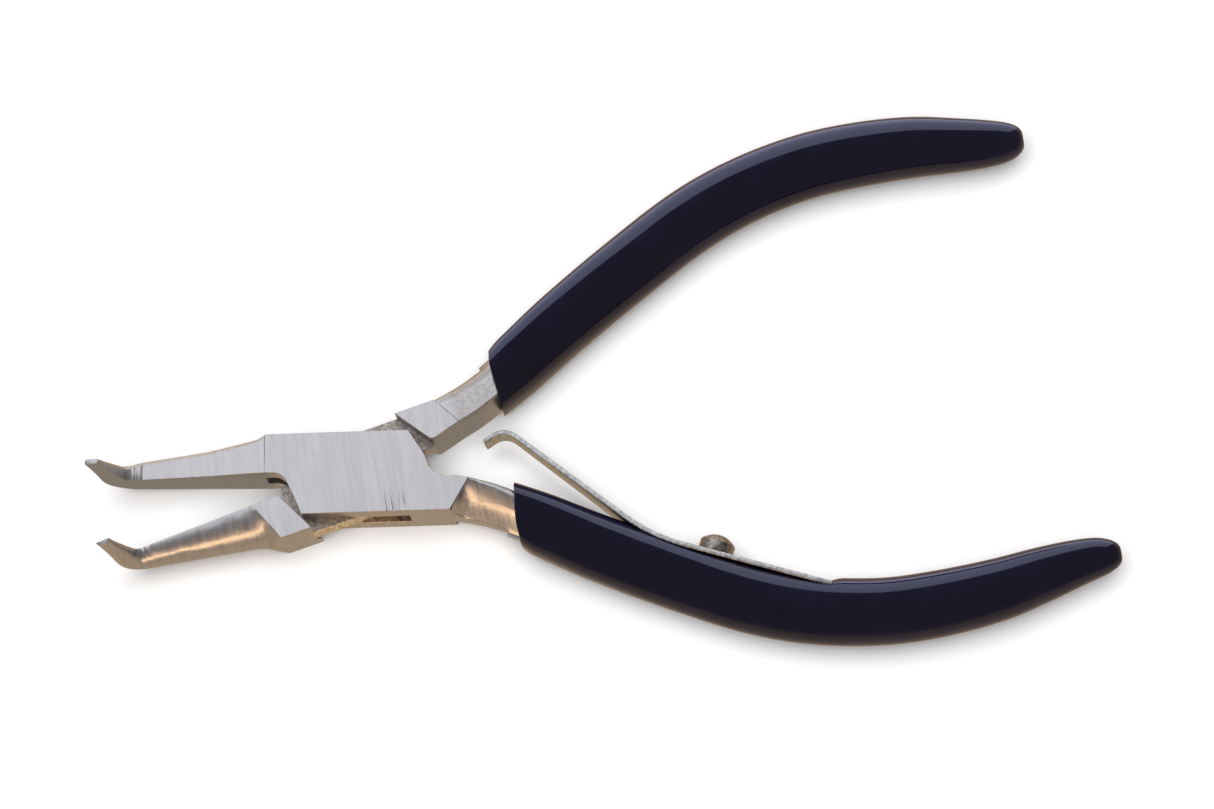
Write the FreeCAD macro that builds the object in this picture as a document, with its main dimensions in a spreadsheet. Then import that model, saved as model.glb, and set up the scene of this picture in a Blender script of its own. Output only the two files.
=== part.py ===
import FreeCAD, Part

import math
import os

# Box-joint bent-nose pliers with a leaf spring. Each lever is drawn in its own closed frame:
# the pivot axis is Z, -X runs towards the jaw, +X towards the handle, and the back of the box
# lies at Z = 0. The outer lever has its jaw above the X axis and its tang below it, and the
# inner lever is its mirror image. A Placement then turns each one by half the opening angle.

SIZES = {
    "opening_angle": 18.2,      # between the two levers, at rest
    "box_depth": 7.5,
    "box_top": 5.05,            # pivot axis to the upper side of the closed box
    "box_bottom": 5.4,          # pivot axis to its lower side
    "jaw_root": 10.5,           # pivot axis to the corner where a jaw leaves the box
    "jaw_gap": 0.1,             # between the gripping faces when closed
    "jaw_bevel": 0.5,
    "web_depth": 2.5,
    "slot_clearance": 0.08,     # on each side of the web
    "slot_reach": 7.45,         # from the pivot axis to the slot's two straight end walls
    "web_reach": 4.6,           # from the pivot axis to the web's two round ends, at the box's edge
    "nose_radius": 8.85,        # reach of the web behind the lower jaw block
    "running_gap": 0.1,         # round the web's nose and along its two steps
    "pin_diameter": 3.0,
    "pin_clearance": 0.04,      # radial, in the web
    "core_diameter": 5.0,       # the tang inside its grip
    "grip_depth": 7.4,
    "heel_depth": 1.5,
    "leaf_thickness": 0.6,
    "leaf_root_width": 5.6,
    "leaf_hook_width": 2.9,
    "screw_diameter": 2.5,
    "screw_head_diameter": 4.4,
    "screw_head_height": 1.1,
    "screw_dome": 0.75,
    "screw_reach": 6.0,         # below the leaf
    "screw_slot_width": 0.65,
    "screw_slot_depth": 0.8,
    "leaf_hole_diameter": 2.7,
}

doc = FreeCAD.newDocument("pliers")
sheet = doc.addObject("Spreadsheet::Sheet", "Sizes")
for row, (alias, value) in enumerate(SIZES.items(), start=1):
    sheet.set(f"A{row}", alias)
    sheet.set(f"B{row}", str(value))
    sheet.setAlias(f"B{row}", alias)
doc.recompute()
size = {alias: float(sheet.get(alias)) for alias in SIZES}

DEPTH = size["box_depth"]
MID = DEPTH / 2
UP = FreeCAD.Vector(0, 0, 1)


def point(x, y, z=0.0):
    return FreeCAD.Vector(x, y, z)


def heading(degrees):
    """The direction in the XY plane that lies this far round from +X."""
    angle = math.radians(degrees)
    return point(math.cos(angle), math.sin(angle))


def curves(corners, side=1, closed=True):
    """Lines through the corners. A pair of points is an arc through the first to the second."""
    first = point(corners[0][0], side * corners[0][1])
    here = first
    made = []
    for corner in corners[1:]:
        if isinstance(corner[0], tuple):
            through = point(corner[0][0], side * corner[0][1])
            there = point(corner[1][0], side * corner[1][1])
            made.append(Part.Arc(here, through, there))
        else:
            there = point(corner[0], side * corner[1])
            made.append(Part.LineSegment(here, there))
        here = there
    if closed:
        made.append(Part.LineSegment(here, first))
    return made


def rounded_path(corners, radii, side=1):
    """Straight runs joined by tangent arcs of the given radii."""
    knots = [point(x, side * y) for x, y in corners]
    here = knots[0]
    made = []
    for before, corner, after, radius in zip(knots, knots[1:], knots[2:], radii):
        inward = (before - corner).normalize()
        outward = (after - corner).normalize()
        half_turn = (math.pi - inward.getAngle(outward)) / 2
        reach = radius * math.tan(half_turn)
        start = corner + inward * reach
        end = corner + outward * reach
        bisector = (inward + outward).normalize()
        centre = corner + bisector * (radius / math.cos(half_turn))
        made.append(Part.LineSegment(here, start))
        made.append(Part.Arc(start, centre - bisector * radius, end))
        here = end
    made.append(Part.LineSegment(here, knots[-1]))
    return made


def new_body(name):
    body = doc.addObject("PartDesign::Body", name)
    body.Label = name
    return body


def plane(body, role):
    return next(feature for feature in body.Origin.OriginFeatures if feature.Role == role)


def sketch(body, name, geometry, place=None):
    """A sketch on the body's own XY plane, moved and turned by place."""
    made = body.newObject("Sketcher::SketchObject", name)
    made.AttachmentSupport = [(plane(body, "XY_Plane"), "")]
    made.MapMode = "FlatFace"
    made.AttachmentOffset = place or FreeCAD.Placement()
    for curve in geometry:
        made.addGeometry(curve, False)
    return made


def raised(height):
    return FreeCAD.Placement(point(0, 0, height), FreeCAD.Rotation())


def upright(origin, along):
    """A sketch place whose own X is `along`, whose own Y is +Z, and which stands at origin."""
    normal = along.cross(UP)
    return FreeCAD.Placement(origin, FreeCAD.Rotation(along, UP, normal, "XYZ"))


def volume_of(body):
    doc.recompute()
    return body.Shape.Volume


def pad(body, name, geometry, length, base=0.0):
    made = body.newObject("PartDesign::Pad", name)
    made.Profile = sketch(body, name + "Sketch", geometry, raised(base))
    made.setExpression("Length", length)
    doc.recompute()
    return made


def cut_through(body, name, geometry, place=None):
    """A pocket both ways from its sketch, right through the body."""
    before = volume_of(body)
    made = body.newObject("PartDesign::Pocket", name)
    made.Profile = sketch(body, name + "Sketch", geometry, place)
    made.Type = "ThroughAll"
    made.Midplane = True
    if volume_of(body) >= before:
        raise RuntimeError(name + " cuts nothing")
    return made


def cut_down(body, name, geometry, place, length):
    """A pocket of the given length against the normal of its sketch."""
    before = volume_of(body)
    made = body.newObject("PartDesign::Pocket", name)
    made.Profile = sketch(body, name + "Sketch", geometry, place)
    made.setExpression("Length", length)
    if volume_of(body) >= before:
        raise RuntimeError(name + " cuts nothing")
    return made


def circle(radius, centre=None):
    return Part.Circle(centre or point(0, 0), UP, radius)


def loft(body, name, sections, ruled=False):
    """A loft through (geometry, place) pairs."""
    profiles = []
    for index, (geometry, place) in enumerate(sections):
        profiles.append(sketch(body, f"{name}Section{index}", geometry, place))
    made = body.newObject("PartDesign::AdditiveLoft", name)
    made.Profile = profiles[0]
    made.Sections = profiles[1:]
    made.Ruled = ruled
    made.Refine = False
    doc.recompute()
    return made


# ---------------------------------------------------------------- shared shapes

TOP = size["box_top"]
BOTTOM = size["box_bottom"]
ROOT = size["jaw_root"]
GRIPPING = size["jaw_gap"] / 2      # from the X axis to each gripping face

# The ground flat of the box ends on the tang in a slanted line between these two corners.
FLAT_FOOT = (12.8, -5.4)
FLAT_HEAD = (15.1, -1.3)

# Sections of the tang: outer corner, inner corner, depth, radius of the two outer corners.
TANG_SECTIONS = [
    ((12.6, -5.3), (14.9, -1.25), 7.44, 1.5),
    ((17.1, -6.45), (18.8, -2.2), 6.9, 2.1),
    ((22.0, -8.5), (23.1, -4.0), 6.0, 2.2),
]
# Radius of the two inner corners in each section, for the outer lever and the inner one.
OUTER_TANG_EDGES = [0.3, 0.9, 1.5]
INNER_TANG_EDGES = [0.15, 0.25, 0.6]

# The handle's centre line: a long straight, one bend towards the other handle, a short straight.
HANDLE_LINE = [(20.4, -5.75), (62.3, -22.5), (87.0, -14.55)]
HANDLE_BEND = [53.0]

# Sections of a grip: x, y, heading of the handle there, width across it, share of the depth.
# The two grips share all but their rounded ends, because the inner one is a little shorter.
GRIP_SECTIONS = [
    (20.9, -5.2, 6, 7.1, 0.97),
    (25.3, -7.4, -24, 7.85, 1.0),
    (31.0, -10.0, -22, 8.2, 1.0),
    (40.0, -13.6, -21.5, 8.5, 1.0),
    (50.0, -17.15, -16.5, 8.6, 1.0),
    (58.0, -18.8, -7, 8.5, 1.0),
    (66.0, -19.15, 3, 8.4, 1.0),
    (73.0, -18.35, 10, 8.3, 1.0),
    (80.0, -16.85, 16, 7.8, 1.0),
    (86.0, -14.95, 17, 6.8, 0.88),
]
OUTER_GRIP_END = [
    (90.5, -13.55, 14, 5.6, 0.73),
    (93.2, -12.95, 10, 4.5, 0.58),
    (94.6, -12.75, 8, 3.2, 0.42),
    (95.1, -12.68, 8, 2.0, 0.26),
]
INNER_GRIP_END = [
    (89.6, -13.85, 15, 5.9, 0.77),
    (91.8, -13.3, 12, 4.9, 0.64),
    (93.0, -13.1, 10, 3.5, 0.46),
    (93.45, -13.03, 10, 2.1, 0.28),
]

# Straight stretches of the jaws: distance from the pivot, width across the box, thickness.
OUTER_SHANK = [(10.3, 7.46, 5.0), (11.5, 7.36, 4.5), (12.9, 7.05, 4.2), (18.0, 5.7, 3.3)]
INNER_SHANK = [(13.9, 6.86, 4.5), (19.5, 5.6, 3.55)]
JAW_END = (26.0, 4.4, 2.45)

# The round jaw's root: a fillet-like flare of this radius, over this length, in this many steps.
FLARE_RADIUS = 3.7
FLARE_RUN = 3.6
FLARE_STEPS = 6
FLARE_SLOPE = 0.156

# The web's two steps, where it narrows beside the jaw and beside the tang.
JAW_STEP = 1.65
TANG_STEP = -0.05

# Well outside the box: how far the outlines of open-sided cuts run.
OUTSIDE = 20.0

# The tip leaves the end of the jaw straight, bends towards the front face and runs on straight.
BEND_START = 0.9
BEND_RADIUS = 2.85
BEND_ANGLE = 80.0
TIP_RUN = 7.9
TIP_STEPS = 13


def jaw_place(distance, height, turn):
    """A section's place: own X across the jaw, own Y along the lever's Y."""
    angle = math.radians(turn)
    across = point(math.sin(angle), 0, math.cos(angle))
    along_y = point(0, 1, 0)
    rotation = FreeCAD.Rotation(across, along_y, across.cross(along_y), "XYZ")
    return FreeCAD.Placement(point(-distance, 0, MID + height), rotation)


def tip_sections(shape):
    """Sections of a bent tip, evenly spaced along its centre line."""
    bend = math.radians(BEND_ANGLE)
    arc = BEND_RADIUS * bend
    total = BEND_START + arc + TIP_RUN
    start, width, thickness = JAW_END
    sections = []
    for step in range(TIP_STEPS + 1):
        run = total * step / TIP_STEPS
        turn = min(max(run - BEND_START, 0.0) / BEND_RADIUS, bend)
        straight = min(run, BEND_START)
        beyond = max(run - BEND_START - arc, 0.0)
        distance = (start + straight + BEND_RADIUS * math.sin(turn) + beyond * math.cos(turn))
        height = BEND_RADIUS * (1 - math.cos(turn)) + beyond * math.sin(turn)
        narrowed = width - 0.36 * run + 0.0118 * run ** 2
        thinned = thickness - (thickness - 0.65) * run / total
        sections.append((shape(narrowed, thinned), jaw_place(distance, height, math.degrees(turn))))
    return sections


def shank_sections(shape, shank):
    return [(shape(width, thickness), jaw_place(distance, 0, 0))
            for distance, width, thickness in shank + [JAW_END]]


def flat_sided(width, thickness):
    """A section with flat sides and two bevels along its back, for the outer lever."""
    half = width / 2
    bevel = size["jaw_bevel"] * min(1.0, thickness / 2.3) * (0.2 if thickness > 4.8 else 1.0)
    back = GRIPPING + thickness
    corners = [(-half, GRIPPING), (half, GRIPPING), (half, back - bevel), (half - bevel, back),
               (bevel - half, back), (-half, back - bevel)]
    return curves(corners)


def half_round(width, thickness):
    """A section with a flat gripping face and an elliptical back, for the inner lever."""
    half = width / 2
    middle = point(0, -GRIPPING)
    if thickness > half:
        ellipse = Part.Ellipse(point(0, -GRIPPING - thickness), point(half, -GRIPPING), middle)
        back = Part.ArcOfEllipse(ellipse, -math.pi / 2, math.pi / 2)
    else:
        ellipse = Part.Ellipse(point(half, -GRIPPING), point(0, -GRIPPING - thickness), middle)
        back = Part.ArcOfEllipse(ellipse, 0, math.pi)
    return [back, Part.LineSegment(back.EndPoint, back.StartPoint)]


def tang_section(outer_corner, inner_corner, depth, radius, edge, side):
    """A section of the tang: own X from its outer to its inner corner, own Y up."""
    foot = point(outer_corner[0], side * outer_corner[1], MID)
    head = point(inner_corner[0], side * inner_corner[1], MID)
    across = head - foot
    extent = across.Length
    half = depth / 2
    skew = radius * (1 - math.sqrt(0.5))
    edge_skew = edge * (1 - math.sqrt(0.5))
    corners = [
        (extent, edge - half),
        (extent, half - edge),
        ((extent - edge_skew, half - edge_skew), (extent - edge, half)),
        (radius, half),
        ((skew, half - skew), (0, half - radius)),
        (0, radius - half),
        ((skew, skew - half), (radius, -half)),
        (extent - edge, -half),
        ((extent - edge_skew, edge_skew - half), (extent, edge - half)),
    ]
    return curves(corners, closed=False), upright(foot, across.normalize())


def add_tang(body, side):
    """The tang that shows, and its round core inside the grip."""
    edges = OUTER_TANG_EDGES if side > 0 else INNER_TANG_EDGES
    sections = [tang_section(*section, edge, side) for section, edge in zip(TANG_SECTIONS, edges)]
    loft(body, "Tang", sections)
    path = sketch(body, "CorePath", rounded_path(HANDLE_LINE, HANDLE_BEND, side), raised(MID))
    begin = point(HANDLE_LINE[0][0], side * HANDLE_LINE[0][1], MID)
    bend = point(HANDLE_LINE[1][0], side * HANDLE_LINE[1][1], MID)
    across = UP.cross(bend - begin).normalize()
    ring = sketch(body, "CoreSection", [circle(size["core_diameter"] / 2)], upright(begin, across))
    core = body.newObject("PartDesign::AdditivePipe", "Core")
    core.Profile = ring
    core.Spine = path
    core.Refine = False
    doc.recompute()


def turn_lever(body, side):
    """Turn the body about the pivot into its place at rest."""
    body.Placement = FreeCAD.Placement(point(0, 0), FreeCAD.Rotation(UP, 1))
    sign = "-" if side > 0 else ""
    body.setExpression("Placement.Rotation.Angle", f"{sign}Sizes.opening_angle / 2 * 1 deg")


def at_height(radius, y, sign):
    """The point at height y on a circle round the pivot, on its +X or its -X side."""
    return (sign * math.sqrt(radius ** 2 - y ** 2), y)


def on_circle(radius, degrees):
    direction = heading(degrees)
    return (radius * direction.x, radius * direction.y)


# ---------------------------------------------------------------- the outer lever


def outer_lever():
    """Upper jaw, slotted box and lower tang in one piece."""
    body = new_body("outer_lever")
    box = [
        (-ROOT, TOP),
        (-ROOT, GRIPPING),
        (-9.35, GRIPPING),
        ((-8.3, -0.4), (-7.6, -1.35)),
        ((-6.85, -2.95), (-5.8, -BOTTOM)),
        FLAT_FOOT,
        FLAT_HEAD,
        (13.35, -1.0),
        ((11.1, -0.62), (10.05, 0.45)),
        (9.6, 1.8),
        (7.5, TOP),
    ]
    pad(body, "Box", curves(box), "Sizes.box_depth")
    loft(body, "Shank", shank_sections(flat_sided, OUTER_SHANK), ruled=True)
    loft(body, "Tip", tip_sections(flat_sided))
    add_tang(body, 1)

    # The slot that the web sweeps, open along both sides of the box. Its rough end also
    # breaks out of the gripping face, at the root of the jaw.
    nose = size["nose_radius"] + size["running_gap"]
    reach = size["slot_reach"]
    slot = [
        (-reach, OUTSIDE),
        (-reach, JAW_STEP + size["running_gap"]),
        at_height(nose, JAW_STEP + size["running_gap"], -1),
        (-10.25, 0.95),
        (-10.9, -0.3),
        (-OUTSIDE, -OUTSIDE),
        (reach, -OUTSIDE),
        (reach, TANG_STEP - size["running_gap"]),
        (10.8, TANG_STEP - size["running_gap"]),
        (OUTSIDE, OUTSIDE),
    ]
    half_slot = size["web_depth"] / 2 + size["slot_clearance"]
    cut_down(body, "Slot", curves(slot), raised(MID + half_slot),
             "Sizes.web_depth + 2 * Sizes.slot_clearance")
    cut_through(body, "PinHole", [circle(size["pin_diameter"] / 2)])
    tapped_hole(body)
    turn_lever(body, 1)
    return body


# ---------------------------------------------------------------- the inner lever


def inner_lever():
    """Lower jaw, web and upper tang in one piece."""
    body = new_body("inner_lever")
    nose = size["nose_radius"]
    reach = size["web_reach"]
    upper_end = math.hypot(reach, TOP)
    lower_end = math.hypot(reach, BOTTOM)
    web = [
        (-reach, TOP),
        (8.3, TOP),
        (11.2, 0.6),
        (11.0, TANG_STEP),
        at_height(lower_end, TANG_STEP, 1),
        (on_circle(lower_end, -25), (reach, -BOTTOM)),
        (-7.2, -BOTTOM),
        (-9.5, -0.6),
        (-nose, 0.0),
        (on_circle(nose, 174), at_height(nose, JAW_STEP, -1)),
        at_height(upper_end, JAW_STEP, -1),
        (on_circle(upper_end, 150), (-reach, TOP)),
    ]
    # The root of the round jaw flares out to the full block, and is trimmed flush with it.
    start, width, thickness = INNER_SHANK[0]
    flare = []
    for step in range(FLARE_STEPS + 1):
        run = FLARE_RUN * step / FLARE_STEPS
        swell = FLARE_RADIUS - math.sqrt(FLARE_RADIUS ** 2 - run ** 2)
        section = half_round(width + 2 * swell, thickness + FLARE_SLOPE * run + swell)
        flare.append((section, jaw_place(start - run, 0, 0)))
    loft(body, "Flare", flare)
    sides = curves([(-OUTSIDE, DEPTH), (0, DEPTH), (0, OUTSIDE), (-OUTSIDE, OUTSIDE)])
    sides += curves([(-OUTSIDE, 0), (0, 0), (0, -OUTSIDE), (-OUTSIDE, -OUTSIDE)])
    cut_through(body, "FlareSides", sides, upright(point(0, 0), point(1, 0, 0)))
    below = curves([(-OUTSIDE, -BOTTOM), (0, -BOTTOM), (0, -OUTSIDE), (-OUTSIDE, -OUTSIDE)])
    cut_through(body, "FlareBack", below)
    pad(body, "Web", curves(web, closed=False), "Sizes.web_depth", MID - size["web_depth"] / 2)
    jaw_block = [(-9.19, GRIPPING), (-6.5, BOTTOM), (-ROOT, BOTTOM), (-ROOT, GRIPPING)]
    tang_block = [(7.75, -TOP), (12.95, -TOP), FLAT_HEAD, (11.5, -0.3), (10.95, -0.45)]
    blocks = curves(jaw_block, -1) + curves(tang_block, -1)
    pad(body, "Blocks", blocks, "Sizes.box_depth")
    # The back of the jaw block ends in a small heel behind the web.
    heel = [(-7.5, 3.4), (-5.95, BOTTOM), (-7.0, BOTTOM)]
    pad(body, "Heel", curves(heel, -1), "Sizes.heel_depth")
    loft(body, "Shank", shank_sections(half_round, INNER_SHANK), ruled=True)
    loft(body, "Tip", tip_sections(half_round))
    add_tang(body, -1)
    cut_through(body, "PinHole", [circle(size["pin_diameter"] / 2 + size["pin_clearance"])])
    turn_lever(body, -1)
    return body


# ---------------------------------------------------------------- pin, grips, spring and screw


def pivot_pin():
    """The rivet through both cheeks and the web, ground flush with the box."""
    pin = doc.addObject("Part::Cylinder", "pivot_pin")
    pin.Label = "pivot_pin"
    pin.setExpression("Radius", "Sizes.pin_diameter / 2")
    pin.setExpression("Height", "Sizes.box_depth")
    return pin


# The leaf's centre line: hook, arm, root and tail, and the screw through the tail.
LEAF_LINE = [(16.77, 3.81), (19.3, 5.53), (37.72, -9.3), (59.9, -16.08)]
LEAF_BENDS = [2.4, 20.3]
LEAF_TAIL_HEADING = -17.05
SCREW_SEAT = (45.3, -11.28)

# The leaf's outline from above, along X: where it widens from hook to root, and its cut corners.
LEAF_START = 15.0
LEAF_TAPER = [19.5, 38.0]
LEAF_CORNER = [58.6, 60.6]
LEAF_CUT = 1.6
LEAF_STOP = 62.0

# The screw: its pointed end, the shoulder of its dome, and how far above its seat a hole starts.
SCREW_TAPER = 0.35
DOME_SHOULDER = 0.55
DOME_RISE = 0.72
SCREW_BACKING = 5.0

# How a grip's oval is drawn: its points round the ring, and the power on cosine and sine at the
# squarer mouth and in the rounder rest, which begins at ROUND_FROM.
OVAL_POINTS = 16
MOUTH_POWER = 0.68
ROUND_POWER = 0.92
ROUND_FROM = 45.0

# The lower face of the leaf where it lies on the grip: arm, root bend and tail.
LEAF_BED = [(33.68, -6.47), ((37.73, -9.23), (41.5, -10.77)), (60.8, -16.69)]


def screw_place():
    """Own X along the leaf's tail, own Y up, own Z into the grip."""
    return upright(point(*SCREW_SEAT, MID), heading(LEAF_TAIL_HEADING))


def oval(half_width, half_depth, power):
    """A closed curve, squarer than an ellipse where the power is below 1."""
    ring = []
    for step in range(OVAL_POINTS):
        turn = 2 * math.pi * step / OVAL_POINTS
        across = math.copysign(abs(math.cos(turn)) ** power, math.cos(turn))
        up = math.copysign(abs(math.sin(turn)) ** power, math.sin(turn))
        ring.append(point(half_width * across, half_depth * up))
    curve = Part.BSplineCurve()
    curve.interpolate(Points=ring, PeriodicFlag=True)
    return curve


def grip(name, lever, side):
    """A dipped sleeve: a closed oval shape less the tang inside it."""
    body = new_body(name + "_shape")
    sections = []
    for x, y, angle, width, share in GRIP_SECTIONS + (OUTER_GRIP_END if side > 0 else INNER_GRIP_END):
        rounding = min(1.0, (x - GRIP_SECTIONS[0][0]) / (ROUND_FROM - GRIP_SECTIONS[0][0]))
        power = MOUTH_POWER + (ROUND_POWER - MOUTH_POWER) * rounding
        ring = oval(width / 2, size["grip_depth"] / 2 * share, power)
        across = heading(side * angle + 90)
        sections.append(([ring], upright(point(x, side * y, MID), across)))
    loft(body, "Sleeve", sections)
    if side > 0:
        bed = LEAF_BED + [(60.8, -5.0), (40.0, 3.0)]
        cut_through(body, "LeafBed", curves(bed))
        cut_down(body, "ScrewHole", [circle(size["screw_diameter"] / 2)], backed_screw_place(),
                 f"Sizes.screw_reach + {SCREW_BACKING}")
    turn_lever(body, side)
    cut = doc.addObject("Part::Cut", name)
    cut.Label = name
    cut.Base = body
    cut.Tool = lever
    return cut


def backed_screw_place():
    """The screw's place drawn back out of the grip, with its normal pointing outwards."""
    place = screw_place()
    inward = place.Rotation.multVec(UP)
    turned = place.Rotation.multiply(FreeCAD.Rotation(point(1, 0, 0), 180))
    return FreeCAD.Placement(place.Base - inward * SCREW_BACKING, turned)


def leaf_spring():
    """A strip that tapers from its root to its hooked end, with a hole for the screw."""
    body = new_body("leaf_spring")
    path = sketch(body, "LeafPath", rounded_path(LEAF_LINE, LEAF_BENDS), raised(MID))
    half = size["leaf_thickness"] / 2
    broad = size["leaf_root_width"] / 2
    narrow = size["leaf_hook_width"] / 2
    begin = point(*LEAF_LINE[0], MID)
    along = (point(*LEAF_LINE[1], MID) - begin).normalize()
    corners = [(-half, -broad), (half, -broad), (half, broad), (-half, broad)]
    strip = sketch(body, "LeafSection", curves(corners), upright(begin, UP.cross(along)))
    pipe = body.newObject("PartDesign::AdditivePipe", "Strip")
    pipe.Profile = strip
    pipe.Spine = path
    doc.recompute()
    clear = broad + 1
    edge = [(LEAF_START, narrow), (LEAF_TAPER[0], narrow), (LEAF_TAPER[1], broad),
            (LEAF_CORNER[0], broad), (LEAF_CORNER[1], broad - LEAF_CUT), (LEAF_STOP, clear),
            (LEAF_START, clear)]
    plan = upright(point(0, 0, MID), point(1, 0, 0))
    cut_through(body, "Taper", curves(edge) + curves(edge, -1), plan)
    hole = [circle(size["leaf_hole_diameter"] / 2)]
    cut_through(body, "Hole", hole, screw_place())
    turn_lever(body, 1)
    return body


def spring_screw():
    """A fillister screw: its shank points along its own +Z, into the grip."""
    body = new_body("spring_screw")
    head = size["screw_head_diameter"] / 2
    height = size["screw_head_height"]
    shank = size["screw_diameter"] / 2
    reach = size["screw_reach"]
    dome_top = height + size["screw_dome"]
    profile = [
        (0, reach),
        (shank - SCREW_TAPER, reach),
        (shank, reach - SCREW_TAPER),
        (shank, 0),
        (head, 0),
        (head, -height),
        ((head * DOME_SHOULDER, -height - size["screw_dome"] * DOME_RISE), (0, -dome_top)),
    ]
    outline = sketch(body, "ScrewProfile", curves(profile), upright(point(0, 0), point(1, 0, 0)))
    turning = body.newObject("PartDesign::Revolution", "Turning")
    turning.Profile = outline
    turning.ReferenceAxis = (outline, ["V_Axis"])
    turning.Angle = 360
    slot_half = size["screw_slot_width"] / 2
    floor = dome_top - size["screw_slot_depth"]
    above = -dome_top - slot_half
    slot = [(-slot_half, -floor), (slot_half, -floor), (slot_half, above), (-slot_half, above)]
    cut_through(body, "Slot", curves(slot), upright(point(0, 0), point(0, 1, 0)))
    turned = FreeCAD.Placement(point(0, 0), FreeCAD.Rotation(UP, -size["opening_angle"] / 2))
    body.Placement = turned.multiply(screw_place())
    return body


def tapped_hole(body):
    """The hole in the outer tang that the spring screw is driven into."""
    cut_down(body, "ScrewHole", [circle(size["screw_diameter"] / 2)], backed_screw_place(),
             "Sizes.screw_reach + 5")


outer = outer_lever()
inner = inner_lever()
sub_parts = [outer, inner, pivot_pin(), leaf_spring(), spring_screw(),
             grip("outer_grip", outer, 1), grip("inner_grip", inner, -1)]
doc.recompute()

for made in doc.Objects:
    if "Invalid" in made.State or "Error" in made.State:
        raise RuntimeError(f"{made.Name} did not recompute")
for sub_part in sub_parts:
    if sub_part.Shape.isNull() or not sub_part.Shape.isValid():
        raise RuntimeError(f"{sub_part.Label} has a bad shape")

os.makedirs("parts", exist_ok=True)
for sub_part in sub_parts:
    sub_part.Shape.exportStep(f"parts/{sub_part.Label}.step")
    print(sub_part.Label, round(sub_part.Shape.Volume, 1), len(sub_part.Shape.Solids))
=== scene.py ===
import functools
import math

import bmesh
import bpy
from mathutils import Euler, Matrix, Vector


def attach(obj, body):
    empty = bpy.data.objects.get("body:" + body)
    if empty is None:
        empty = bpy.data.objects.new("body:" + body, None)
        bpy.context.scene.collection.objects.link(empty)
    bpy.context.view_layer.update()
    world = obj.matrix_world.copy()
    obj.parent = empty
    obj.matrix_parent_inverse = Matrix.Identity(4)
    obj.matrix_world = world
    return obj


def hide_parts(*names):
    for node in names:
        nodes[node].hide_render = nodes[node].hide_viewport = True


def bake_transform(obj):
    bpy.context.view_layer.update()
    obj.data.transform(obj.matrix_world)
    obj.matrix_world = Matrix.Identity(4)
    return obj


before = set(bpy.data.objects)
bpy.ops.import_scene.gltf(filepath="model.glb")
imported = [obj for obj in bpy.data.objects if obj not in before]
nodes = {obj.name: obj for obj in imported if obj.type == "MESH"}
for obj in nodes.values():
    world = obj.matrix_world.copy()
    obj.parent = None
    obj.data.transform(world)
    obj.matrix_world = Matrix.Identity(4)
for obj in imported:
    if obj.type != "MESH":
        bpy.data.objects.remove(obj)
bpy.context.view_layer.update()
scene = bpy.context.scene

MM = 0.001
# The box joint's depth and middle plane, and the angle between the two levers at rest. Each lever
# is described closed, and then turned by half of that angle about the pivot.
DEPTH = 7.5
MID = DEPTH / 2
OPENING = 18.2


# ---------------------------------------------------------------- materials


def linear(hex_colour):
    """An sRGB hex colour as linear red, green, blue and alpha."""
    parts = [int(hex_colour[i:i + 2], 16) / 255 for i in (0, 2, 4)]
    return tuple(p / 12.92 if p <= 0.04045 else ((p + 0.055) / 1.055) ** 2.4 for p in parts) + (1.0,)


def node(tree, kind, *ordered, named=None, give=None, **settings):
    """Adds a node with its settings. Its inputs, in order or by name, are numbers, hex colours or
    other nodes' outputs. Gives the output of that name, or else the first live one."""
    made = tree.nodes.new("ShaderNode" + kind)
    for key, value in settings.items():
        setattr(made, key, value)
    pairs = list(zip([socket for socket in made.inputs if socket.enabled], ordered))
    pairs += [(made.inputs[name], value) for name, value in (named or {}).items()]
    for socket, value in pairs:
        if isinstance(value, bpy.types.NodeSocket):
            tree.links.new(value, socket)
        else:
            socket.default_value = linear(value) if isinstance(value, str) else value
    return made.outputs[give] if give else next(out for out in made.outputs if out.enabled)


def new_material(name, **sockets):
    """A material with its shader's own sockets set; gives it, its node adder and its shader."""
    material = bpy.data.materials.new(name)
    material.use_nodes = True
    shader = material.node_tree.nodes["Principled BSDF"]
    for socket, value in sockets.items():
        shader.inputs[socket.replace("_", " ")].default_value = value
    return material, functools.partial(node, material.node_tree), shader


def finish(material, shader, **sources):
    """Links patterns to the shader's sockets; gives the material."""
    for socket, source in sources.items():
        material.node_tree.links.new(source, shader.inputs[socket.replace("_", " ")])
    return material


def per_mm(*sizes_mm):
    """Pattern scales for features of about these many millimetres, along X, Y and Z."""
    return tuple(1 / (size * MM) for size in sizes_mm)


# Where the finish changes on a lever, and where its painted shade and painted highlight lie: from
# and to, along its own X unless it says otherwise.
WEB_SKIN = (2.2 * MM, 1.9 * MM)         # from the middle plane: belt grain, then forged skin
WEB_CORE = (1.7 * MM, 1.5 * MM)         # from the middle plane: the slot's inside
FORGED_REACH = (13.5 * MM, 13.0 * MM)
SLOT_REACH = (6.9 * MM, 6.6 * MM)
# JAW_FROM and HANDLE_FROM are where the painted shade between the levers begins.
JAW_FROM = (-9.0 * MM, -10.6 * MM)
HANDLE_FROM = (10.0 * MM, 11.5 * MM)
TUMBLED_FROM = (14.4 * MM, 15.4 * MM)
SCORED_FROM = (3.6 * MM, 4.6 * MM)
SCORED_TO = (8.2 * MM, 7.2 * MM)
SCORED_HEIGHTS = (-2.2 * MM, -4.4 * MM)     # along its own Y
# How squarely a face must look up or down, or towards -Y, to count as such: from and to.
FLAT_FACING = (0.9, 0.97)
DOWN_FACING = (-0.75, -0.93)
EDGE_FACING = (-0.3, -0.6)


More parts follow.
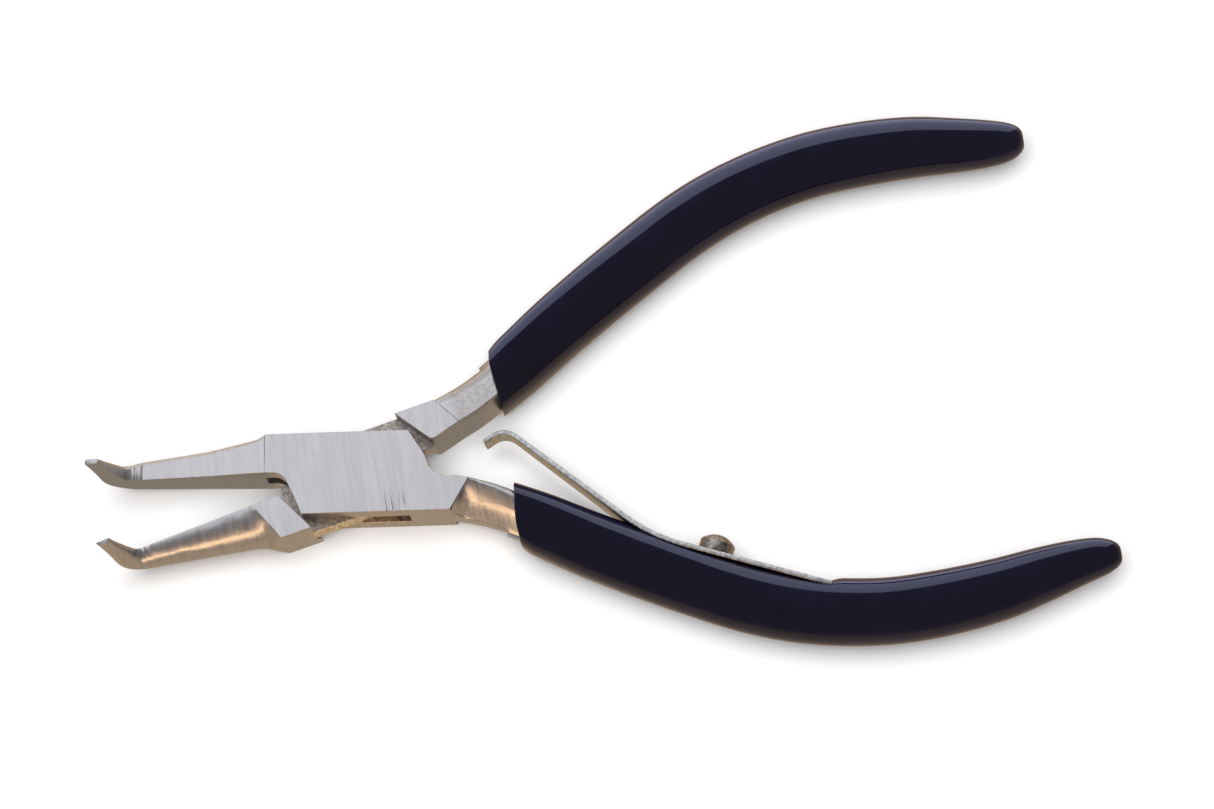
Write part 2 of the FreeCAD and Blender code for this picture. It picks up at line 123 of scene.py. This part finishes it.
def lever_steel(name, turn):
    """Carbon steel, forged and linished across the tool on a belt, left bare. The eye gets a satin
    grey with a fine grain across the box, mottled forged skin on the web where no belt reaches,
    painted shade on the faces between the levers, and a painted highlight on the web's edge in the
    slot."""
    material, add, shader = new_material(name, Metallic=1.0)
    place = add("TexCoord", give="Object")
    height = add("Math", add("SeparateXYZ", place, give="Z"), MID * MM, operation="SUBTRACT")
    height = add("Math", height, operation="ABSOLUTE")
    own = add("VectorRotate", named={"Vector": place, "Angle": math.radians(-turn)},
              rotation_type="Z_AXIS")
    own_x, own_y = [add("SeparateXYZ", own, give=axis) for axis in "XY"]
    from_pivot = add("Math", own_x, operation="ABSOLUTE")
    normal = add("NewGeometry", give="Normal")
    facing_y, facing_z = [add("SeparateXYZ", normal, give=axis) for axis in "YZ"]
    upright = add("Math", facing_z, operation="ABSOLUTE")

    # Noise drawn out along Y makes the belt's marks and the scores. Belt marks are a few hundredths
    # of a millimetre apart, and are drawn 0.13 mm apart to show. The turn comes after the scale,
    # and only sets the two levers' grain apart.
    grain, broad, scores = [
        add("TexNoise", named={
            "Vector": add("Mapping", named={"Vector": place, "Scale": per_mm(*drawn_mm),
                                            "Rotation": (0, 0, math.radians(-turn))}),
            "Scale": 1.0, "Detail": detail, "Roughness": 0.6})
        for drawn_mm, detail in (((0.13, 3.2, 2.0), 3.0), ((0.6, 9.0, 5.0), 3.0),
                                 ((0.2, 4.0, 3.0), 1.0))]
    tone = add("Math", add("Math", grain, 0.65, operation="MULTIPLY"),
               add("Math", broad, 0.35, operation="MULTIPLY"), operation="ADD")
    colour = add("Mix", add("MapRange", tone, 0.34, 0.66, 0.0, 1.0), "b3b3b8", "cfd0d6",
                 data_type="RGBA")

    # The web's two faces keep the pitted skin of the forging, in grains of half a millimetre.
    flat = add("MapRange", upright, *FLAT_FACING, 0.0, 1.0)
    forged = add("Math", flat, add("MapRange", height, *WEB_SKIN, 0.0, 1.0), operation="MULTIPLY")
    forged = add("Math", forged, add("MapRange", from_pivot, *FORGED_REACH, 0.0, 1.0),
                 operation="MULTIPLY")
    skin = add("TexNoise", named={"Vector": place, "Scale": per_mm(0.5)[0], "Detail": 4.0,
                                  "Roughness": 0.7})
    skin_colour = add("Mix", add("MapRange", skin, 0.35, 0.65, 0.0, 1.0), "8b827c", "d6cfc8",
                      data_type="RGBA")
    colour = add("Mix", forged, colour, skin_colour, data_type="RGBA")

    # Painted shade: where the upper jaw's gripping face and the upper handle's inner side look
    # towards -Y, between the levers, they are painted a darker blue-grey for the shaded table they
    # face.
    painted_shade = add("Math", add("MapRange", facing_y, *DOWN_FACING, 0.0, 1.0),
               add("MapRange", own_x, *(JAW_FROM if turn < 0 else HANDLE_FROM), 0.0, 1.0),
               operation="MULTIPLY")
    colour = add("Mix", add("Math", painted_shade, 0.85, operation="MULTIPLY"), colour, "8e9bb2",
                 data_type="RGBA")

    # The web's edge, seen through the slot, is as forged in tan patches, and is painted up to near
    # white as a painted highlight against the slot's shade.
    core = add("Math", add("MapRange", height, *WEB_CORE, 0.0, 1.0),
               add("MapRange", facing_y, *EDGE_FACING, 0.0, 1.0), operation="MULTIPLY")
    core = add("Math", core, add("MapRange", from_pivot, *SLOT_REACH, 0.0, 1.0),
               operation="MULTIPLY")
    # The tan end of this mix is the forged skin; the near white end is a painted highlight.
    forged_skin_and_painted_highlight = add("Mix", add("MapRange", skin, 0.42, 0.58, 0.0, 1.0), "c4b298", "fff6e8",
              data_type="RGBA")
    colour = add("Mix", core, colour, forged_skin_and_painted_highlight, data_type="RGBA")

    if turn < 0:
        # A few deep scores by the lower edge of the box face.
        deep = add("MapRange", scores, 0.58, 0.66, 0.0, 0.8)
        for value, ends in ((own_x, SCORED_FROM), (own_x, SCORED_TO), (own_y, SCORED_HEIGHTS),
                            (upright, FLAT_FACING)):
            deep = add("Math", deep, add("MapRange", value, *ends, 0.0, 1.0),
                       operation="MULTIPLY")
        colour = add("Mix", deep, colour, "4d4a4b", data_type="RGBA")
    else:
        # The tang's front was only tumbled, so it is mottled and a little darker.
        cloud = add("TexNoise", named={"Vector": place, "Scale": per_mm(0.5)[0], "Detail": 4.0,
                                       "Roughness": 0.65})
        tumbled = add("Mix", add("MapRange", cloud, 0.35, 0.65, 0.0, 1.0), "a9a6aa", "bfbdc0",
                      data_type="RGBA")
        # Where the painted shade lies, the tang keeps the painted shade colour.
        tumbled = add("Mix", painted_shade, tumbled, colour, data_type="RGBA")
        colour = add("Mix", add("MapRange", own_x, *TUMBLED_FROM, 0.0, 1.0), colour, tumbled,
                     data_type="RGBA")

    rough = add("Math", add("MapRange", grain, 0.3, 0.7, 0.28, 0.42),
                add("Math", forged, 0.15, operation="MULTIPLY"), operation="ADD")
    fine = add("Bump", named={"Height": grain, "Strength": 0.5, "Distance": 0.02 * MM})
    pits = add("Math", skin, forged, operation="MULTIPLY")
    pitted = add("Bump", named={"Height": pits, "Normal": fine, "Strength": 0.6,
                                "Distance": 0.12 * MM})
    return finish(material, shader, Base_Color=colour, Roughness=rough, Normal=pitted)


def small_steel(name, dull, bright):
    """Small plain steel pieces, blanked or turned: the eye gets a bright skin with half-millimetre
    marks that break up its shine."""
    material, add, shader = new_material(name, Metallic=1.0)
    place = add("TexCoord", give="Object")
    marks = add("TexNoise", named={"Vector": place, "Scale": per_mm(0.45)[0], "Detail": 5.0,
                                   "Roughness": 0.7})
    shade = add("MapRange", marks, 0.38, 0.6, 0.0, 1.0)
    colour = add("Mix", shade, dull, bright, data_type="RGBA")
    rough = add("MapRange", marks, 0.3, 0.7, 0.26, 0.46)
    bump = add("Bump", named={"Height": marks, "Strength": 0.5, "Distance": 0.03 * MM})
    return finish(material, shader, Base_Color=colour, Roughness=rough, Normal=bump)


def dipped_vinyl():
    """Plastisol PVC, dipped and oven cured: navy black and glossy. The skin waves a little, which
    bends the edges of reflections, and handling haze makes cloudy patches of lower gloss."""
    material, add, shader = new_material("dipped_navy_vinyl", IOR=1.5)
    place = add("TexCoord", give="Object")
    waves, dust, cloud = [
        add("TexNoise", named={"Vector": place, "Scale": per_mm(size)[0], "Detail": detail,
                               "Roughness": roughness})
        for size, detail, roughness in ((11.0, 1.0, 0.4), (0.4, 3.0, 0.7), (6.0, 4.0, 0.6))]
    haze = add("MapRange", cloud, 0.4, 0.7, 0.0, 1.0)
    colour = add("Mix", haze, "12102e", "1b1a3c", data_type="RGBA")
    rough = add("MapRange", cloud, 0.35, 0.75, 0.04, 0.13)
    skin = add("Bump", named={"Height": waves, "Strength": 0.15, "Distance": 0.2 * MM})
    specks = add("Bump", named={"Height": dust, "Normal": skin, "Strength": 0.08,
                                "Distance": 0.008 * MM})
    return finish(material, shader, Base_Color=colour, Roughness=rough, Normal=specks)


def white_card():
    """Matt white card: a pale even ground with no gloss."""
    return new_material("matt_white_card", Base_Color=linear("f6f6f6"), Roughness=0.95,
                        Specular_IOR_Level=0.1)[0]


OUTER_STEEL = lever_steel("linished_steel_outer", -OPENING / 2)
INNER_STEEL = lever_steel("linished_steel_inner", OPENING / 2)
LEAF_STEEL = small_steel("blanked_spring_steel", "8f9196", "d0d2d6")
SCREW_STEEL = small_steel("turned_screw_steel", "6e6864", "b9b2ac")
VINYL = dipped_vinyl()


# ---------------------------------------------------------------- pieces


def give_material(piece, material):
    """Puts one material on a whole piece."""
    piece.data.materials.clear()
    piece.data.materials.append(material)


def placed_by(side):
    """From a lever's closed frame in millimetres to the row frame at rest, in metres. Side 1 is the
    outer lever, whose handle runs below the X axis, and side -1 the inner one, its mirror image."""
    mirrored = Matrix.Diagonal((1, side, 1, 1))
    turned = Matrix.Rotation(math.radians(-side * OPENING / 2), 4, "Z")
    return turned @ Matrix.Scale(MM, 4) @ mirrored


# Faces smaller than this many millimetres across are dropped from a finished mesh.
SPECK = 0.0001
OUTER_PLACE = placed_by(1)
OUTER_FRAME = OUTER_PLACE.inverted()


def new_piece(name, shape, material, sharp):
    """An object of a finished bmesh, smooth but for edges sharper than this many degrees."""
    bmesh.ops.dissolve_degenerate(shape, edges=shape.edges, dist=SPECK * MM)
    bmesh.ops.recalc_face_normals(shape, faces=shape.faces)
    if shape.calc_volume(signed=True) < 0:
        bmesh.ops.reverse_faces(shape, faces=shape.faces)
    mesh = bpy.data.meshes.new(name)
    shape.to_mesh(mesh)
    shape.free()
    mesh.shade_smooth()
    mesh.set_sharp_from_angle(angle=math.radians(sharp))
    piece = bpy.data.objects.new(name, mesh)
    bpy.context.collection.objects.link(piece)
    give_material(piece, material)
    return piece


def stands_for(piece, node_name, body=None):
    """The piece replaces one CAD node, which is hidden, and rides on its body if one is given."""
    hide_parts(node_name)
    if body:
        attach(piece, body)


def crisp_edges(shape, over_degrees):
    return [edge for edge in shape.edges
            if len(edge.link_faces) == 2 and edge.calc_face_angle(0) > math.radians(over_degrees)]


def ease_edges(shape, edges, width):
    bmesh.ops.bevel(shape, geom=edges, affect="EDGES", offset=width, segments=2, profile=0.5,
                    material=-1, clamp_overlap=False)


# ---- the levers and the screw

# The slanted line where the outer lever's flat box ends and its tang begins, foot and head, and
# the tang's upper edge with the direction across its front.
LINE_FOOT = Vector((12.8, -5.4, 0))
LINE_HEAD = Vector((15.1, -1.3, 0))
TANG_TOP = Vector((18.8, -2.2, 0))
TANG_DOWN = Vector((-0.386, -0.922, 0))
# The tang's front falls away by this slope and curve, in full once it is this far past the line.
ROLL_SLOPE = 0.26
ROLL_CURVE = 0.1
ROLL_RUN = 1.2
LINE_CUTS = (0.15, 0.5, ROLL_RUN)
FRONT_CUTS = 8
FRONT_CUT_GAP = 0.55
NEAR_LINE = 0.05
CUT_TOLERANCE = 0.0001
# The cuts are made in faces this far above the middle plane, and points this far above it fall.
FRONT_ABOVE = 2.0
SIDE_ABOVE = 0.5
TANG_FROM = 11.0

# The screw's seat on the leaf, the way out of it, and how much its head is drawn out.
SCREW_SEAT = Vector((45.3, -11.28, MID))
SCREW_OUT = Vector((0.293, 0.956, 0))
HEAD_DRAW = 0.36

NEAR_SEAT = 0.05

LEVER_EASE = 0.07
SCREW_EASE = 0.05
PIN_CLEAR = 2.2
# Millimetres within which a copy's points merge, and angles in degrees: faces flatter than FLAT
# join, edges over CRISP are eased, and shading breaks over SHARP.
MERGE = 0.05
FLAT = 0.5
CRISP = 28
SHARP = 34
FLAT_FACE_WEIGHT = 80


def roll_tang(shape):
    """Rolls the front of the outer lever's tang over towards its lower side, as it is ground."""
    slant = (LINE_HEAD - LINE_FOOT).normalized()
    away = Vector((slant.y, -slant.x, 0))
    cuts = [(LINE_FOOT + away * step, away) for step in LINE_CUTS]
    cuts += [(TANG_TOP + TANG_DOWN * FRONT_CUT_GAP * step, TANG_DOWN)
             for step in range(1, FRONT_CUTS + 1)]
    for place, normal in cuts:
        front = [face for face in shape.faces
                 if face.normal.z > 0.5 and face.calc_center_median().z > MID + FRONT_ABOVE
                 and (face.calc_center_median() - LINE_FOOT).dot(away) > NEAR_LINE]
        geom = front + list({edge for face in front for edge in face.edges})
        geom += list({vert for face in front for vert in face.verts})
        bmesh.ops.bisect_plane(shape, geom=geom, dist=CUT_TOLERANCE, plane_co=place,
                               plane_no=normal)
    for vert in shape.verts:
        past = (vert.co - LINE_FOOT).dot(away)
        if vert.co.z > MID + SIDE_ABOVE and past > NEAR_LINE and vert.co.x > TANG_FROM:
            fall = max(0.0, (vert.co - TANG_TOP).dot(TANG_DOWN))
            drop = min(1.0, past / ROLL_RUN) * (ROLL_SLOPE * fall + ROLL_CURVE * fall * fall)
            vert.co.z = MID + (vert.co.z - MID) * (1 - drop / MID)


def raise_head(shape):
    """Draws the screw's head out along its axis to its full height."""
    for vert in shape.verts:
        above = (vert.co - SCREW_SEAT).dot(SCREW_OUT)
        if above > NEAR_SEAT:
            vert.co += SCREW_OUT * above * HEAD_DRAW


def eased(node_name, body, material, width_mm, reshape=None):
    """A merged copy of a CAD node, with its crisp edges eased as a belt leaves them, but not those
    of the pin's hole, where the pin was ground off flush."""
    shape = bmesh.new()
    shape.from_mesh(nodes[node_name].data)
    bmesh.ops.remove_doubles(shape, verts=shape.verts, dist=MERGE * MM)
    bmesh.ops.dissolve_limit(shape, angle_limit=math.radians(FLAT), verts=shape.verts,
                             edges=shape.edges)
    if reshape:
        shape.transform(OUTER_FRAME)
        reshape(shape)
        shape.transform(OUTER_PLACE)
    edges = [edge for edge in crisp_edges(shape, CRISP)
             if any(vert.co.xy.length >= PIN_CLEAR * MM for vert in edge.verts)]
    ease_edges(shape, edges, width_mm * MM)
    piece = new_piece(node_name + "_eased", shape, material, SHARP)
    weighted = piece.modifiers.new("flat_faces", "WEIGHTED_NORMAL")
    weighted.keep_sharp = True
    weighted.weight = FLAT_FACE_WEIGHT
    stands_for(piece, node_name, body)


eased("outer_lever", "outer", OUTER_STEEL, LEVER_EASE, roll_tang)
eased("inner_lever", "inner", INNER_STEEL, LEVER_EASE)
eased("spring_screw", "outer", SCREW_STEEL, SCREW_EASE, raise_head)
give_material(nodes["pivot_pin"], OUTER_STEEL)

# ---- the leaf

# The leaf's centre line in the outer lever's closed frame, hook, arm, root and tail, and the radii
# of its two bends.
LEAF_LINE = [Vector((16.77, 3.81, 0)), Vector((19.3, 5.53, 0)), Vector((37.72, -9.3, 0)),
             Vector((59.9, -16.08, 0))]
LEAF_BENDS = [2.4, 20.3]
LEAF_THICK = 0.6
LEAF_WIDTHS = (2.9, 5.6)
LEAF_TAPER = (19.5, 38.0)
LEAF_EASE = 0.09
LEAF_CRISP = 50
RUN_STEPS = 6
BEND_STEPS = 10


def leaf_width(x):
    """Full width of the leaf, which tapers from its root to its hook."""
    share = min(max((x - LEAF_TAPER[0]) / (LEAF_TAPER[1] - LEAF_TAPER[0]), 0), 1)
    return LEAF_WIDTHS[0] + (LEAF_WIDTHS[1] - LEAF_WIDTHS[0]) * share


def run_on(shape, faces, along):
    """Extrudes end faces straight on in several steps; gives the new end faces."""
    for _ in range(RUN_STEPS):
        grown = bmesh.ops.extrude_face_region(shape, geom=faces)["geom"]
        verts = [item for item in grown if isinstance(item, bmesh.types.BMVert)]
        bmesh.ops.translate(shape, verts=verts, vec=along / RUN_STEPS)
        bmesh.ops.delete(shape, geom=faces, context="FACES_ONLY")
        faces = [item for item in grown if isinstance(item, bmesh.types.BMFace)]
    return faces


def leaf():
    """A strip run straight on and spun round its bends, then tapered, closed and eased."""
    shape = bmesh.new()
    first = (LEAF_LINE[1] - LEAF_LINE[0]).normalized()
    left = Vector((-first.y, first.x, 0)) * LEAF_THICK / 2
    up = Vector((0, 0, 0.5))
    begin = LEAF_LINE[0] + Vector((0, 0, MID))
    ends = [shape.verts.new(begin + a * left + b * up)
            for a, b in ((-1, -1), (1, -1), (1, 1), (-1, 1))]
    faces = [shape.faces.new(ends)]
    here = LEAF_LINE[0]
    for before, corner, after, radius in zip(LEAF_LINE, LEAF_LINE[1:], LEAF_LINE[2:], LEAF_BENDS):
        inward, outward = (before - corner).normalized(), (after - corner).normalized()
        half_turn = (math.pi - inward.angle(outward)) / 2
        reach = radius * math.tan(half_turn)
        faces = run_on(shape, faces, corner + inward * reach - here)
        centre = corner + (inward + outward).normalized() * radius / math.cos(half_turn)
        turn = math.copysign(2 * half_turn, -inward.cross(outward).z)
        spun = bmesh.ops.spin(shape, geom=faces, cent=centre, axis=(0, 0, 1), angle=turn,
                              steps=BEND_STEPS)
        faces = [item for item in spun["geom_last"] if isinstance(item, bmesh.types.BMFace)]
        here = corner + outward * reach
    run_on(shape, faces, LEAF_LINE[-1] - here)
    for vert in shape.verts:
        vert.co.z = MID + (vert.co.z - MID) * leaf_width(vert.co.x)
    inside = [face for face in shape.faces
              if all(len(edge.link_faces) > 2 for edge in face.edges)]
    bmesh.ops.delete(shape, geom=inside, context="FACES_ONLY")
    rim = [edge for edge in shape.edges if edge.is_boundary]
    bmesh.ops.holes_fill(shape, edges=rim, sides=0)
    bmesh.ops.recalc_face_normals(shape, faces=shape.faces)
    bmesh.ops.bevel(shape, geom=crisp_edges(shape, LEAF_CRISP), affect="EDGES", offset=LEAF_EASE,
                    segments=2, profile=0.5, material=-1)
    shape.transform(OUTER_PLACE)
    return new_piece("leaf_strip", shape, LEAF_STEEL, LEAF_CRISP)


strip = leaf()
stands_for(strip, "leaf_spring")
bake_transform(strip)

# ---- the grips

# Stations of a sleeve in the outer lever's closed frame: x, y, heading of the handle there, width
# across it and share of the full depth. The mouth is cut slanting, so its heading is its own.
GRIP_STATIONS = [
    (20.9, -5.45, 6, 7.75, 0.98), (25.3, -7.4, -24, 7.85, 1.0), (31.0, -10.0, -22, 8.2, 1.0),
    (40.0, -13.6, -21.5, 8.5, 1.0), (50.0, -17.15, -16.5, 8.6, 1.0), (58.0, -18.8, -7, 8.5, 1.0),
    (66.0, -19.15, 3, 8.4, 1.0), (73.0, -18.35, 10, 8.3, 1.0), (80.0, -16.85, 16, 7.8, 1.0),
    (86.0, -14.95, 17, 6.8, 0.88),
]
OUTER_END = [
    (90.5, -13.55, 14, 5.6, 0.73), (93.2, -12.95, 10, 4.6, 0.6), (94.7, -12.75, 8, 3.2, 0.42),
    (95.25, -12.68, 8, 1.9, 0.25), (95.3, -12.68, 8, 1.2, 0.16),
]
INNER_END = [
    (89.6, -13.85, 15, 5.9, 0.77), (91.8, -13.3, 12, 4.9, 0.64), (93.1, -13.1, 10, 3.5, 0.46),
    (93.6, -13.03, 10, 2.1, 0.28), (93.65, -13.03, 10, 1.3, 0.18),
]
GRIP_DEPTH = 7.4
RING = 40
RING_GAP = 1.1
SLEEVE_SHARP = 60
# Power on cosine and sine: squarer at the mouth, where the dip follows the tang, and rounder on.
MOUTH_POWER = 0.68
ROUND_POWER = 0.95
ROUND_RUN = 24
# The lip, from inside the tang outwards: shift along X, share of the size, and waviness. Then the
# first rings past it: share of the span to the next station, share of the size, and waviness.
LIP_RINGS = [(0.9, 0.70, 0.0), (0.12, 0.86, 0.1), (-0.02, 0.96, 0.14), (0.02, 1.02, 0.14)]
NECK_RINGS = [(0.05, 1.035, 0.12), (0.15, 1.03, 0.06)]
NECK_STEPS = 2
# The lip's waves: share of the waviness, waves round the ring, and where they begin.
LIP_WAVES = [(0.6, 2, 0.7), (0.4, 5, 2.0)]
# The seat pressed by the leaf: where it starts before the leaf's root, the easing curve of the
# leaf's bend there, and the run over which it rises again at the leaf's tail.
SEAT_FROM = -6
SEAT_BEND = 4.5
SEAT_PAST = 0.3
SEAT_RISE = 2.2


def between(rows, index, t):
    """A smooth curve through table rows, at share t of the span after the given row."""
    a, b, c, d = (rows[min(max(index + k, 0), len(rows) - 1)] for k in (-1, 0, 1, 2))
    return [0.5 * (2 * q + (r - p) * t + (2 * p - 5 * q + 4 * r - s) * t * t
                   + (3 * q - p - 3 * r + s) * t ** 3) for p, q, r, s in zip(a, b, c, d)]


def sleeve_plan(rows):
    """Every ring of a sleeve: its station, share of the size, and waviness."""
    mouth = rows[0]
    plan = [((mouth[0] + shift, *mouth[1:]), size, wave) for shift, size, wave in LIP_RINGS]
    plan += [(between(rows, 0, t), size, wave) for t, size, wave in NECK_RINGS]
    for index in range(len(rows) - 1):
        span = math.dist(rows[index][:2], rows[index + 1][:2])
        steps = max(2, round(span / RING_GAP))
        for step in range(0 if index else NECK_STEPS, steps):
            plan.append((between(rows, index, step / steps), 1.0, 0.0))
    return plan + [(rows[-1], 1.0, 0.0)]


def place_ring(ring, station, size, wave):
    """Moves a ring of vertices to a station of the sleeve."""
    x, y, heading, width, share = station
    rounding = min(1.0, max(0.0, (x - GRIP_STATIONS[0][0]) / ROUND_RUN))
    power = MOUTH_POWER + (ROUND_POWER - MOUTH_POWER) * rounding
    along = Vector((math.cos(math.radians(heading)), math.sin(math.radians(heading)), 0))
    across = Vector((-along.y, along.x, 0))
    for index, vert in enumerate(ring):
        turn = 2 * math.pi * index / len(ring)
        cos, sin = math.cos(turn), math.sin(turn)
        out = math.copysign(abs(cos) ** power, cos) * width / 2 * size
        rise = math.copysign(abs(sin) ** power, sin) * GRIP_DEPTH / 2 * share * size
        wavy = wave * sum(part * math.sin(count * turn + begin) for part, count, begin in LIP_WAVES)
        vert.co = Vector((x, y, MID)) + across * out + Vector((0, 0, rise)) + along * wavy


def extrude_ring(shape, ring):
    """Extrudes a ring's edges; gives the new ring in the order of the old one."""
    loop = set(ring)
    edges = list(dict.fromkeys(edge for vert in ring for edge in vert.link_edges
                               if edge.other_vert(vert) in loop))
    grown = bmesh.ops.extrude_edge_only(shape, edges=edges)["geom"]
    fresh = {item for item in grown if isinstance(item, bmesh.types.BMVert)}
    return [next(edge.other_vert(vert) for edge in vert.link_edges
                 if edge.other_vert(vert) in fresh) for vert in ring]


def press_leaf(shape):
    """Presses the sleeve's crown down under the leaf, where the screw pulls the leaf into it."""
    root, tail = LEAF_LINE[2], LEAF_LINE[3]
    length = (tail - root).length
    along = (tail - root).normalized()
    under = Vector((-along.y, along.x, 0))
    for vert in shape.verts:
        flat = Vector((vert.co.x, vert.co.y, 0))
        reach = (flat - root).dot(along)
        bend = max(0.0, 1 - reach / SEAT_BEND) ** 2
        above = (flat - root).dot(under) + LEAF_THICK / 2 - bend
        if reach > SEAT_FROM and above > 0:
            ease = min(1.0, max(0.0, (length + SEAT_PAST - reach) / SEAT_RISE))
            vert.co -= under * above * ease * ease * (3 - 2 * ease)


def sleeve(name, side, body, ends):
    """One dipped sleeve: rings run along the handle, closed at both ends."""
    shape = bmesh.new()
    ring = bmesh.ops.create_circle(shape, segments=RING, radius=1.0)["verts"]
    for number, (station, size, wave) in enumerate(sleeve_plan(GRIP_STATIONS + ends)):
        if number:
            ring = extrude_ring(shape, ring)
        place_ring(ring, station, size, wave)
    rims = [edge for edge in shape.edges if edge.is_boundary]
    bmesh.ops.holes_fill(shape, edges=rims, sides=0)
    if side > 0:
        press_leaf(shape)
    shape.transform(placed_by(side))
    piece = new_piece(name + "_sleeve", shape, VINYL, SLEEVE_SHARP)
    stands_for(piece, name, body)
    smooth = piece.modifiers.new("smooth", "SUBSURF")
    smooth.levels = smooth.render_levels = 1
    return piece


sleeves = [sleeve("outer_grip", 1, "outer", OUTER_END), sleeve("inner_grip", -1, "inner", INNER_END)]
steel = [piece for piece in bpy.data.objects
         if piece.type == "MESH" and piece.data.materials
         and piece.data.materials[0] in (OUTER_STEEL, INNER_STEEL, LEAF_STEEL, SCREW_STEEL)]


# ---------------------------------------------------------------- floor, light and camera

CENTRE = Vector((30, 0, 4))
FLOOR_HALF = 3.0
FLOOR_SHARP = 40


def card_floor():
    """A white card floor that casts no shadow and isn't seen in the steel."""
    shape = bmesh.new()
    bmesh.ops.create_grid(shape, x_segments=1, y_segments=1, size=FLOOR_HALF)
    piece = new_piece("floor", shape, white_card(), FLOOR_SHARP)
    piece.visible_glossy = piece.visible_shadow = False
    return piece


def lit_group(name, pieces):
    """A collection that a light can be limited to."""
    group = bpy.data.collections.new(name)
    for piece in pieces:
        group.objects.link(piece)
    return group


def soft_box(name, place, width, height, radiance, colour, only):
    """A rectangular soft light, in millimetres, turned to the tool and limited to some pieces."""
    lamp = bpy.data.lights.new(name, "AREA")
    lamp.shape = "RECTANGLE"
    lamp.size = width * MM
    lamp.size_y = height * MM
    lamp.energy = radiance * math.pi * lamp.size * lamp.size_y
    lamp.color = linear(colour)[:3]
    holder = bpy.data.objects.new(name, lamp)
    bpy.context.collection.objects.link(holder)
    holder.location = Vector(place) * MM
    holder.rotation_mode = "QUATERNION"
    holder.rotation_quaternion = (CENTRE - Vector(place)).to_track_quat("-Z", "Y")
    holder.light_linking.receiver_collection = only


ground = card_floor()
steel_only = lit_group("steel_only", steel)
ground_only = lit_group("ground_only", [ground])
vinyl_only = lit_group("vinyl_only", sleeves)
soft_box("window", (30, 420, 80), 900, 540, 2.2, "c3c9ec", vinyl_only)
soft_box("side", (30, 420, 80), 900, 540, 0.75, "f2eee8", steel_only)
soft_box("top", (-60, 300, 600), 900, 500, 1.1, "f7f8fa", steel_only)
soft_box("warm_strip", (-80, -420, 230), 1100, 34, 12.0, "ffd09a", steel_only)
soft_box("ground_light", (30, 0, 900), 1200, 1200, 3.0, "ffffff", ground_only)

# A grey room above the table's height and a warm table below it.
world = bpy.data.worlds.new("studio")
world.use_nodes = True
sky = functools.partial(node, world.node_tree)
level = sky("SeparateXYZ", sky("TexCoord", give="Generated"), give="Z")
room = sky("Mix", sky("MapRange", level, 0.05, -0.15, 0.0, 1.0), "7c7876", "c4ac8e",
           data_type="RGBA")
backdrop = world.node_tree.nodes["Background"]
backdrop.inputs["Strength"].default_value = 1.0
world.node_tree.links.new(room, backdrop.inputs["Color"])
scene.world = world
scene.view_settings.view_transform = "Standard"

lens = bpy.data.cameras.new("camera")
lens.sensor_width = 36
lens.lens = 154.2
lens.clip_start = 0.05
lens.clip_end = 20
camera = bpy.data.objects.new("camera", lens)
bpy.context.collection.objects.link(camera)
camera.location = Vector((59.393, -188.633, 623.57)) * MM
camera.rotation_euler = Euler([math.radians(turn) for turn in (16.553, 5.318, -9.5)])
scene.camera = camera
